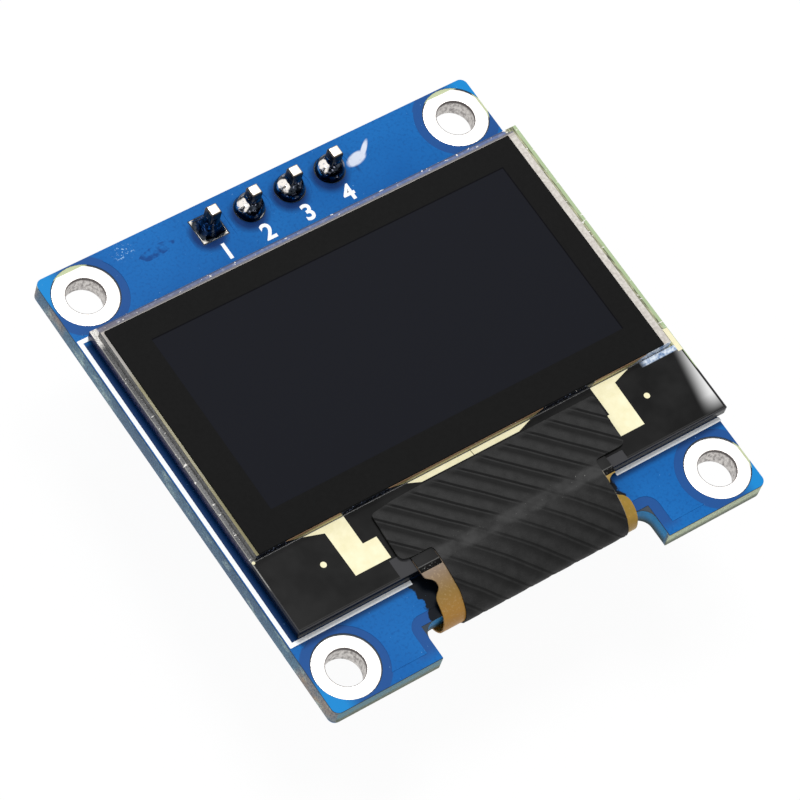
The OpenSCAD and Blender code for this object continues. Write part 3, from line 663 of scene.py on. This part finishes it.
electrode, tree, shader = material("cream_metal_film", "#ece6bf", 0.45)
shader.inputs["Specular IOR Level"].default_value = 0.2
x, y, z = axes_mm(tree)
cream = blend_colour(tree, fleck(tree, 0.5), "#e6dfb6", "#efe9c6", 0.3, 0.7)
hairline = window(tree, maths(tree, "SUBTRACT", x, maths(tree, "MULTIPLY", y, -0.1)), -0.08, -0.06, 0.02)
tree.links.new(blend_colour(tree, hairline, cream, "#4d4630"), shader.inputs["Base Color"])

silicon, tree, shader = material("bare_silicon", "#34363c", 0.2, 0.6)
relief(tree, shader, fleck(tree, 0.1), 0.002, 0.4)

# %% [markdown]
# The flex is polyimide film, semi-gloss. It is taupe at the neck, where copper lies under it, and turns
# golden down the fold. Both sheets carry their flat layout as a UV map in millimetres, x across and the way
# along the sheet, so these tones and the ribs of the tape follow the fold.

# %% Flex and resin
amber, tree, shader = material("polyimide_flex", "#a9853b", 0.4)
shader.inputs["Specular IOR Level"].default_value = 0.35
flat = add(tree, "SeparateXYZ", {0: add(tree, "TexCoord").outputs["UV"]})
across, way = flat.outputs[0], flat.outputs[1]
tone = blend_colour(tree, way, "#7d6a58", "#866830", 4.3, 5.6)
tone = blend_colour(tree, way, tone, "#a8772a", 5.6, 7.4)
golden = blend_colour(tree, fleck(tree, 0.6, 3.0), "#8f7428", "#a07c2c", 0.35, 0.65)
tone = blend_colour(tree, window(tree, across, 0, 20, 0.5), tone, golden)
tone = blend_colour(tree, fleck(tree, 0.12, 3.0), tone, "#c0a780", 0.55, 1.2)
tree.links.new(tone, shader.inputs["Base Color"])
relief(tree, shader, fleck(tree, 0.2, 3.0), 0.008, 0.6)

resin, tree, shader = material("black_bond_resin", "#1c1c1c", 0.5)
shader.inputs["Specular IOR Level"].default_value = 0.05
x, y, z = axes_mm(tree)
# Painted shade on the resin's slope below its crest.
black = blend_colour(tree, window(tree, y, -9.52, -8, 0.03), "#0c0c0c", "#252525")
beads = maths(tree, "MULTIPLY", specks(tree, 0.09, 2.0, 0.66), window(tree, y, -10, -9.6, 0.05))
black = blend_colour(tree, beads, black, "#6e6e6c")
# A painted highlight line along the crest.
tree.links.new(blend_colour(tree, window(tree, y, -9.53, -9.5, 0.015), black, "#565655"),
               shader.inputs["Base Color"])
relief(tree, shader, fleck(tree, 0.4, 2.0), 0.008, 0.6)

# %% [markdown]
# The tape is a matte black film with ribs pressed in at 45 degrees. One rib, going down the tape, is a
# sharp black line, a thin lip that catches light, and a wide shaded valley that rises to the next plateau.
# Relief in the mesh gives the form, and painted shade in the crease line and the valley gives its lines
# their full depth at any size. The ribs fade along the crease where the tape leaves the glass, and dust has
# gathered there. A painted highlight runs along the right cut edge.

# %% Ribbed tape
RIB_X, RIB_PITCH = 0.6, 1.45
CREASE_WAY = (3.45, 3.95)
RIBS_BEFORE = 40  # whole spacings added, so that the count of ribs is never negative
HIGHLIGHT_EDGE_ACROSS = 5.765
# Painted shade of the tape at places within one rib spacing
PAINTED_RIB_SHADE = ((0.0, 1.0), (0.07, 0.95), (0.1, 0.1), (0.14, 0.1), (0.19, 0.85), (0.36, 0.8), (0.55, 0.15),
             (0.66, 0.0), (0.94, 0.0), (0.97, 0.95))

tape_film, tree, shader = material("ribbed_black_tape", "#2b2b2b", 0.6)
shader.inputs["Specular IOR Level"].default_value = 0.12
flat = add(tree, "SeparateXYZ", {0: add(tree, "TexCoord").outputs["UV"]})
across, way = flat.outputs[0], flat.outputs[1]
plateau = blend_colour(tree, fleck(tree, 0.5, 3.0), "#202020", "#292929", 0.35, 0.65)
plateau = blend_colour(tree, fleck(tree, 0.05, 3.0), plateau, "#3a3a3a", 0.5, 1.0)
rib_count = add(tree, "Attribute", attribute_name="rib").outputs["Fac"]
rib = maths(tree, "FRACT", maths(tree, "ADD", rib_count, RIBS_BEFORE))
painted_shade = add(tree, "ValToRGB", {"Fac": rib})
ramp = painted_shade.color_ramp.elements
for position, _ in PAINTED_RIB_SHADE[1:-1]:
    ramp.new(position)
for element, (position, value) in zip(ramp, PAINTED_RIB_SHADE):
    element.position = position
    element.color = (value, value, value, 1)
crease = window(tree, way, *CREASE_WAY, 0.5)
at_crease = maths(tree, "SUBTRACT", 1, maths(tree, "MULTIPLY", crease, 0.7))
strength = maths(tree, "MULTIPLY", painted_shade.outputs[0], at_crease)
strength = maths(tree, "MULTIPLY", strength, window(tree, way, 0.3, 50, 0.25))
soft = maths(tree, "MULTIPLY", window(tree, way, 4.2, 50, 0.8), 0.35)
strength = maths(tree, "MULTIPLY", strength, maths(tree, "SUBTRACT", 1, soft))
tone = blend_colour(tree, strength, plateau, "#020202")
dusty = maths(tree, "MULTIPLY", crease, fleck(tree, 0.9, 3.0))
tone = blend_colour(tree, dusty, tone, "#454545", 0.35, 1.0)
grit = maths(tree, "MULTIPLY", specks(tree, 0.09, 1.0, 0.78), window(tree, way, 3.3, 3.9, 0.4))
tone = blend_colour(tree, grit, tone, "#6e6e6c")
# A painted highlight along the tape's right cut edge.
leaning = maths(tree, "ADD", across, maths(tree, "MULTIPLY", way, 0.012))
rim = maths(tree, "GREATER_THAN", leaning, HIGHLIGHT_EDGE_ACROSS)
rim = maths(tree, "MULTIPLY", rim, window(tree, way, 3.9, 50, 0.1))
tone = blend_colour(tree, rim, tone, "#8f8878")
tree.links.new(tone, shader.inputs["Base Color"])
relief(tree, shader, fleck(tree, 0.05, 3.0), 0.006, 0.7)

# %% [markdown]
# Behind the board are moulded epoxy, black nylon, fired ceramic and glazed resistors.

# %% Finishes behind the board
nylon, tree, shader = material("moulded_black_nylon", "#1d1d1e", 0.5)
relief(tree, shader, fleck(tree, 0.1, 3.0), 0.01, 0.7)

epoxy, tree, shader = material("moulded_epoxy", "#232426", 0.6)
relief(tree, shader, fleck(tree, 0.05, 3.0), 0.012, 0.8)

ceramic, tree, shader = material("fired_tan_ceramic", "#a98a66", 0.5)
tree.links.new(blend_colour(tree, fleck(tree, 0.2, 3.0), "#9c7d5a", "#b89a74", 0.3, 0.7),
               shader.inputs["Base Color"])
relief(tree, shader, fleck(tree, 0.06, 3.0), 0.008, 0.6)

glaze, tree, shader = material("glazed_resistor", "#17181a", 0.25)
relief(tree, shader, fleck(tree, 0.3, 2.0), 0.004, 0.5)
print(len(bpy.data.materials), "materials")

# %% [markdown]
# ## Pieces kept from the CAD model
# A node whose shape is already right only takes its finish.

# %% Finishes on CAD nodes
kept = {"front_solder_mask": solder_mask, "back_solder_mask": solder_mask,
        "front_legend": legend_ink, "back_legend": legend_ink,
        "display_adhesive": foam, "edge_seal": edge_seal, "pixel_matrix": pixel_film,
        "ledge_print": coating, "ledge_electrodes": electrode, "driver_chip": silicon}
for node, finish in kept.items():
    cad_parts[node].data.materials.clear()
    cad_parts[node].data.materials.append(finish)
print(len(kept), "CAD nodes finished")

# %% [markdown]
# ## Pieces with softened edges
# No real edge is perfectly sharp. These pieces are copies of the CAD solids with a small bevel, which
# catches a thin line of light along every edge. Each row gives the bevel's width in mm, the finish and the
# material slot. Light passes the clear front glass, so it throws no hard shadow.

# %% Softened copies
softened = {"board_laminate": (0.03, laminate, "glass_epoxy"),
            "rear_glass": (0.04, rear_glass, "panel_glass_rear"),
            "front_glass": (0.04, front_glass, "panel_glass_front"),
            "polarizer": (0.025, polarizer, "polarizer_film"),
            "header_housing": (0.06, nylon, "header_plastic"),
            "regulator_body": (0.05, epoxy, "moulded_epoxy"),
            "regulator_leads": (0.02, tinned_lead, "tinned_lead"),
            "flex_solder": (0.02, solder, "solder"),
            "capacitor_ends": (0.04, solder, "solder"),
            "resistor_ends": (0.03, solder, "solder"),
            "bond_resin": (0.02, resin, "black_resin")}
for i in range(1, 5):
    softened[f"header_pin_{i}"] = (0.03, pin_metal, "pin_metal")
    softened[f"plated_hole_{i}"] = (0.015, tin, "tinned_pad")
    softened[f"header_pad_{i}"] = (0.01, tin, "tinned_pad")
for i in range(1, 7):
    softened[f"capacitor_{i}"] = (0.04, ceramic, "ceramic_capacitor")
for i in range(1, 8):
    softened[f"resistor_{i}"] = (0.03, glaze, "resistor_body")
for node, (width, finish, slot) in softened.items():
    piece = rounded_piece(node, width, finish)
    if node in ("front_glass", "polarizer"):
        piece.visible_shadow = False

# %% [markdown]
# ## The folded sheets
# Flex and tape share one side view: level along the ledge, a wide shoulder arc, a tight fold, and a gentle
# rise to the solder tail. A sheet is cut flat first, as the real one is, and then every point is carried to
# its place along that side view, so a rib or a cut edge follows the fold without stretching.

# %% Side view of the fold
TAPE_TOP = 0.95
HEAD_Y = -5.67
SHOULDER_Y = -9.5
FOLD_Y, FOLD_Z, FOLD_R = -11.43, -0.78, 1.15
STACK = 0.18
RETURN_RUN = 2.8
RETURN_TOP = -1.45

shoulder_run = SHOULDER_Y - FOLD_Y
shoulder_angle = 2 * math.atan((TAPE_TOP - FOLD_Z - FOLD_R) / shoulder_run)
shoulder_r = FOLD_R + shoulder_run / math.sin(shoulder_angle)
return_angle = 2 * math.atan((RETURN_TOP - (FOLD_Z - FOLD_R)) / RETURN_RUN)
return_span = RETURN_RUN / math.sin(return_angle)
return_r1, return_r2 = (return_span + STACK) / 2, (return_span - STACK) / 2
stretches = [("level", HEAD_Y - SHOULDER_Y, None, None, 0),
             ("arc", shoulder_r * shoulder_angle, (SHOULDER_Y, TAPE_TOP - shoulder_r), shoulder_r, 0),
             ("arc", FOLD_R * (math.pi - shoulder_angle), (FOLD_Y, FOLD_Z), FOLD_R, shoulder_angle),
             ("arc", return_r1 * return_angle, (FOLD_Y, FOLD_Z - FOLD_R + return_r1), return_r1, math.pi),
             ("back", return_r2 * return_angle, (FOLD_Y + RETURN_RUN, RETURN_TOP - return_r2), return_r2,
              return_angle)]
fold_length = sum(s[1] for s in stretches)
print("way from the tape's head to the tail:", round(fold_length, 2), "mm")


def along(way, depth):
    """Place of a point of the sheet, in the plane across the fold, for a way along it and a depth in it."""
    for kind, length, centre, r, start in stretches:
        if way <= length:
            break
        way -= length
    else:
        return FOLD_Y + RETURN_RUN + way, RETURN_TOP + depth
    if kind == "level":
        return HEAD_Y - way, TAPE_TOP - depth
    turn = start + way / r if kind == "arc" else start - way / r
    r = r - depth if kind == "arc" else r + depth
    return centre[0] - r * math.sin(turn), centre[1] + r * math.cos(turn)


def way_to(y):
    """Way along the level and shoulder stretches at which the sheet has a given y."""
    if y >= SHOULDER_Y:
        return HEAD_Y - y
    return HEAD_Y - SHOULDER_Y + shoulder_r * math.asin((SHOULDER_Y - y) / shoulder_r)


# %% [markdown]
# A flat blank is one face with the outline of the sheet, x across and the way along it as -y. Cutting
# planes cross it, which gives it just enough faces to bend and to carry ribs. It then gets a back, and its
# flat layout is kept as a UV map before it is bent.

# %% Blank, cuts and bend
def rounded_outline(points):
    """Cuts the corners of an outline twice over, which rounds them as a die would."""
    for _ in range(2):
        cut_points = []
        for (ax, ay), (bx, by) in zip(points, points[1:] + points[:1]):
            share = min(0.25, 0.12 / max(math.dist((ax, ay), (bx, by)), 0.01))
            cut_points.append((ax + (bx - ax) * share, ay + (by - ay) * share))
            cut_points.append((bx + (ax - bx) * share, by + (ay - by) * share))
        points = cut_points
    return points


def blank(outline):
    bm = bmesh.new()
    bm.faces.new([bm.verts.new((x * MM, -way * MM, 0)) for x, way in rounded_outline(outline)])
    return bm


def cut(bm, normal, offsets_mm):
    for offset in offsets_mm:
        bmesh.ops.bisect_plane(bm, geom=bm.verts[:] + bm.edges[:] + bm.faces[:], dist=1e-8,
                               plane_co=Vector(normal) * offset * MM, plane_no=normal)


def bend(bm, face_depth, back_depth):
    """Gives a flat sheet a back and carries both sides onto the fold. face_depth takes a vertex."""
    flat = bm.loops.layers.uv.new("flat")
    whole = bm.verts[:] + bm.edges[:] + bm.faces[:]
    made = bmesh.ops.extrude_face_region(bm, geom=whole, use_keep_orig=True)
    back = {item for item in made["geom"] if isinstance(item, bmesh.types.BMVert)}
    for face in bm.faces:
        for loop in face.loops:
            loop[flat].uv = (loop.vert.co.x / MM, -loop.vert.co.y / MM)
    for v in bm.verts:
        y, z = along(-v.co.y / MM, back_depth if v in back else face_depth(v))
        v.co = Vector((v.co.x / MM, y, z)) * MM
    bmesh.ops.recalc_face_normals(bm, faces=bm.faces)


# %% [markdown]
# ## Cover tape
# The tape is laid by hand over the driver chip and the bond, so its head is a little aslant and its sides
# lean. Each rib is a thin sharp crease, a lip, and a soft valley below it. Every vertex carries its place
# within the rib spacing as an attribute, so the finish can draw each crease exactly on the relief.

# %% Cover tape
TAPE_FACE, TAPE_BACK = 0.008, 0.098
TAPE_END = fold_length + 0.63
TAPE_CUT = 0.13
WAVER = 0.03
SHEET_SHARP = math.radians(60)

tape_outline = [(-6.2, 0.2), (-4.8, 0.05), (-3, 0), (7.9, 0), (7.77, 2.77), (7.7, 3.02), (7.5, 3.12),
                (5.95, 3.14), (5.79, 3.22), (5.74, 3.42), (5.74, 3.97), (5.71, 4.5), (5.71, 6.2),
                (5.65, 7.0), (5.65, TAPE_END), (-4.54, TAPE_END), (-4.54, 7.6), (-4.475, 6.5),
                (-4.4, 5.85), (-4.45, 5.2), (-4.45, 3.42), (-4.49, 3.24), (-4.62, 3.16), (-5.66, 3.18),
                (-6.12, 3.1), (-6.26, 2.97), (-6.32, 2.77)]
rib_steps = (-0.035, 0.0, 0.035, 0.07, 0.1, 0.13, 0.16, 0.22, 0.28, 0.36, 0.46, 0.6, 0.8)


def rib_height(place_in_rib):
    """Height of the face over one rib spacing: a crease at 0, a lip after it, and a soft valley."""
    u = (place_in_rib + 0.3) % 1 - 0.3
    crease = -0.034 * max(0, 1 - abs(u - 0.02) / 0.055)
    lip = 0.004 * math.exp(-(((u - 0.12) / 0.03) ** 2))
    valley = -0.024 * math.exp(-(((u - 0.28) / 0.11) ** 2))
    return crease + lip + valley


bm = blank(tape_outline)
diagonal = Vector((1, 1, 0)).normalized()
spacing = RIB_PITCH / math.sqrt(2)
offsets = [(RIB_X / RIB_PITCH + k - u) * spacing for k in range(-17, 8) for u in rib_steps]
cut(bm, diagonal, offsets)
cut(bm, Vector((0, 1, 0)), [-TAPE_CUT * k for k in range(1, int(TAPE_END / TAPE_CUT) + 1)])
rib_place = bm.verts.layers.float.new("rib")
for v in bm.verts:
    v[rib_place] = (RIB_X - v.co.x / MM - v.co.y / MM) / RIB_PITCH
    v.co.x += WAVER * MM * noise.noise(v.co / MM * 0.8)


def tape_depth(v):
    way = -v.co.y / MM
    fade = 1 - 0.6 * math.exp(-(((way - 3.7) / 0.3) ** 2))
    ripple = 0.006 * noise.noise(v.co / MM * 0.9)
    return TAPE_FACE - rib_height(v[rib_place]) * fade - ripple


bend(bm, tape_depth, TAPE_BACK)
finish_piece(bm, "ribbed_tape", tape_film, "cover_tape", sharp=SHEET_SHARP)

# %% [markdown]
# ## Flex
# The flex is one film: bonded on the ledge, necked by a round relief on each side before the fold, and
# spread into a wide tail behind the board, where it is soldered.

# %% Flex
FLEX_FACE, FLEX_BACK = 0.1, 0.18
FLEX_CUT = 0.12
BOND_Y = -8.85
BOND_WAY = way_to(BOND_Y)
TAIL_X = (-9.445, 10.055)
TAIL_START = fold_length + 0.5
TAIL_END = fold_length + 3.43

left_side = [(-5.77, BOND_WAY), (-5.77, 4.44), (-5.58, 4.58), (-5.36, 4.78), (-5.3, 5.03), (-5.36, 5.26),
             (-5.6, 5.46), (-5.77, 5.7), (-5.78, 6.56), (-5.86, 7.3), (-5.86, TAIL_START),
             (TAIL_X[0], TAIL_START), (TAIL_X[0], TAIL_END)]
right_side = [(6.38, BOND_WAY), (6.38, 4.24), (6.2, 4.2), (5.87, 4.36), (5.68, 4.75), (5.62, 5.0),
              (5.7, 5.27), (6.1, 5.47), (6.3, 5.8), (6.35, 6.1), (6.37, 6.5), (6.3, 7.3),
              (6.3, TAIL_START), (TAIL_X[1], TAIL_START), (TAIL_X[1], TAIL_END)]
bm = blank(left_side + right_side[::-1])
cut(bm, Vector((0, 1, 0)), [-FLEX_CUT * k for k in range(1, int(TAIL_END / FLEX_CUT) + 1)])
bend(bm, lambda v: FLEX_FACE, FLEX_BACK)
finish_piece(bm, "amber_flex", amber, "flex_circuit", sharp=SHEET_SHARP)

# %% [markdown]
# ## Solder joints
# A joint is a skin of metal pulled between pad and pin. The first sits on a square pad and stays a flare
# with four drawn corners, and the other three have more solder and stand up as round domes.

# %% Solder joints
PIN_W = 0.64
FLARE_FOOT, FLARE_H, FLARE_WOBBLE = 0.74, 1.2, 0.05
DOME_FOOT, DOME_H, DOME_WOBBLE = 0.81, 1.15, 0.06
SUNK, TOE = -0.02, 0.03
pad_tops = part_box("header_pad_1")[1].z / MM


def dome_section(foot, height):
    """Half section of a dome that thins to a collar round the pin."""
    angles = [k * math.pi / 28 for k in range(11)]
    points = [(foot * math.cos(a), height * 0.86 * math.sin(a)) for a in angles]
    return [(foot, SUNK)] + points + [(PIN_W * 0.62, height * 0.93), (PIN_W * 0.53, height * 1.1),
                                       (0.02, height * 1.1)]


def flare_section(foot, height):
    """Half section of a flare, steep at the pin and almost level at the pad."""
    neck = PIN_W * 0.56
    points = [(foot + (neck - foot) * k / 11, height * (k / 11) ** 1.8 + TOE) for k in range(12)]
    return [(foot, SUNK)] + points + [(0.02, height + TOE)]


def joint(index, section, wobble):
    low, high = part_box(f"header_pin_{index}")
    centre = Vector(((low.x + high.x) / 2, (low.y + high.y) / 2, pad_tops * MM))
    bm = bmesh.new()
    verts = [bm.verts.new((r * MM, 0, z * MM)) for r, z in section]
    edges = [bm.edges.new(pair) for pair in zip(verts, verts[1:])]
    bmesh.ops.spin(bm, geom=verts + edges, cent=(0, 0, 0), axis=(0, 0, 1), angle=2 * math.pi,
                   steps=48, use_merge=True)
    bmesh.ops.remove_doubles(bm, verts=bm.verts, dist=WELD)
    for v in bm.verts:
        push = 1 + wobble * noise.noise(v.co / MM * 1.4 + Vector((7 * index, 3, 1)))
        v.co.x, v.co.y = v.co.x * push, v.co.y * push
    bmesh.ops.recalc_face_normals(bm, faces=bm.faces)
    bmesh.ops.translate(bm, verts=bm.verts, vec=centre)
    return bm


def square_foot(bm, centre, half_mm):
    """Draws the foot of a round flare out into the corners of its square pad."""
    round_to, square_from = 0.45, 0.95
    for v in bm.verts:
        flat = Vector((v.co.x - centre.x, v.co.y - centre.y))
        reach = flat.length / (half_mm * MM)
        if reach > round_to:
            widest = max(abs(flat.x), abs(flat.y))
            share = min(1, (reach - round_to) / (square_from - round_to))
            grow = 1 + (flat.length / widest - 1) * share
            v.co.x, v.co.y = centre.x + flat.x * grow, centre.y + flat.y * grow


for i in range(1, 5):
    low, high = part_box(f"header_pin_{i}")
    centre = (low + high) / 2
    if i == 1:
        bm = joint(i, flare_section(FLARE_FOOT, FLARE_H), FLARE_WOBBLE)
        square_foot(bm, centre, FLARE_FOOT)
    else:
        bm = joint(i, dome_section(DOME_FOOT, DOME_H), DOME_WOBBLE)
    finish_piece(bm, f"joint_{i}", solder, f"solder_joint_{i}", sharp=math.radians(50))

# %% [markdown]
# ## Pin numbers
# The pins carry plain numbers in legend ink, 1 to 4, each below its pin.

# %% Pin numbers
DIGIT_H = 0.95
CAPITAL_SHARE = 0.7
STROKE_GROWN = 0.035
DIGIT_Y = 10.36
DIGIT_ASIDE = 0.08
INK_T = 0.012

for i in range(1, 5):
    low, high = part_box(f"header_pin_{i}")
    curve = bpy.data.curves.new(f"digit_{i}", "FONT")
    curve.body = str(i)
    curve.align_x = "CENTER"
    curve.size = DIGIT_H * MM / CAPITAL_SHARE
    curve.offset = STROKE_GROWN * MM
    curve.extrude = INK_T * MM / 2
    curve.resolution_u = 6
    drawn = bpy.data.objects.new(f"digit_{i}_outline", curve)
    bpy.context.scene.collection.objects.link(drawn)
    bpy.context.view_layer.update()
    mesh = bpy.data.meshes.new_from_object(drawn.evaluated_get(bpy.context.evaluated_depsgraph_get()))
    bpy.data.objects.remove(drawn)
    aside = (low.x + high.x) / 2 + DIGIT_ASIDE * MM
    mesh.transform(Matrix.Translation((aside, DIGIT_Y * MM, INK_T * MM / 2)))
    bm = bmesh.new()
    bm.from_mesh(mesh)
    finish_piece(bm, f"pin_number_{i}", legend_ink)

# %% [markdown]
# ## Sizes
# The dressed model must stay inside the CAD model's box, so both boxes are written down for comparison.

# %% Print the dressed model's box
low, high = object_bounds()
print("visual box in mm:", [round(v / MM, 2) for v in (high - low)])
